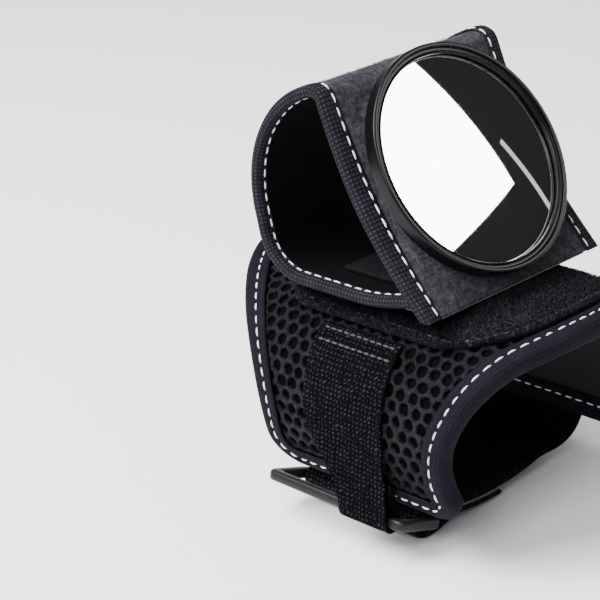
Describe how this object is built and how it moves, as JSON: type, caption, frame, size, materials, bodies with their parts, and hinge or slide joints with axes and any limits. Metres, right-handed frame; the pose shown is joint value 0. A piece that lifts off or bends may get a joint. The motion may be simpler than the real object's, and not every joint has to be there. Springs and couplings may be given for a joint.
{
  "type": "wrist rear-view mirror",
  "caption": "Padded mesh wrist band carrying a round convex rear-view mirror on a curled felt strap that turns and tilts, closed under the wrist by a ring and a hook-and-loop strap.",
  "frame": {"origin": "middle of the wrist opening, halfway along the side wings", "axes": "+X along the arm towards the elbow, +Z out of the back of the wrist, +Y towards the little finger side; the ring and the anchor tape are on the -Y side"},
  "size_m": [0.0956, 0.0705, 0.102],
  "materials": {
    "mesh": "3D spacer mesh, matte",
    "lining": "smooth knit, matte",
    "binding": "grosgrain tape",
    "loop_pad": "fuzzy loop pile",
    "webbing": "woven loop tape, matte",
    "ring": "satin",
    "hook": "hook tape",
    "felt": "brushed felt, mottled",
    "loop_lining": "smooth, matte",
    "edging": "ribbed binding tape",
    "plate": "plain",
    "steel": "plain",
    "housing": "semi gloss",
    "rim": "gloss",
    "mirror": "convex mirror",
    "foam_tape": "foam tape"
  },
  "bodies": {
    "band": {"guard_mesh": "mesh", "guard_lining": "lining", "guard_binding": "binding", "loop_pad": "loop_pad", "anchor_tape": "webbing", "closure_strap": "webbing"},
    "ring": {"ring": "ring"},
    "tail": {"closure_tail": "webbing", "closure_hook_patch": "hook"},
    "sole": {"sole_hook_patch": "hook"},
    "mirror_strap": {"strap_felt": "felt", "strap_lining": "loop_lining", "strap_binding_near": "edging", "strap_binding_far": "edging", "strap_hook_tab": "hook", "backing_plate": "plate", "backing_screws": "steel", "mirror_housing": "housing", "mirror_rim": "rim", "mirror_glass": "mirror", "mirror_adhesive": "foam_tape"}
  },
  "joints": [
    {"name": "mirror_turn", "type": "hinge", "parent": "band", "child": "sole", "pos_m": [0, 0, 0.02695], "axis": [0, 0, 1], "continuous": true},
    {"name": "mirror_tilt", "type": "hinge", "parent": "sole", "child": "mirror_strap", "pos_m": [0.0202, 0, 0.02765], "axis": [0, 1, 0], "range_deg": [0, 18]},
    {"name": "ring_swing", "type": "hinge", "parent": "band", "child": "ring", "pos_m": [-0.0043, -0.03351, -0.01757], "axis": [1, 0, 0], "range_deg": [-4, 4]},
    {"name": "closure_peel", "type": "hinge", "parent": "band", "child": "tail", "pos_m": [-0.0043, -0.02531, -0.02434], "axis": [-1, 0, 0], "range_deg": [0, 110]}
  ]
}
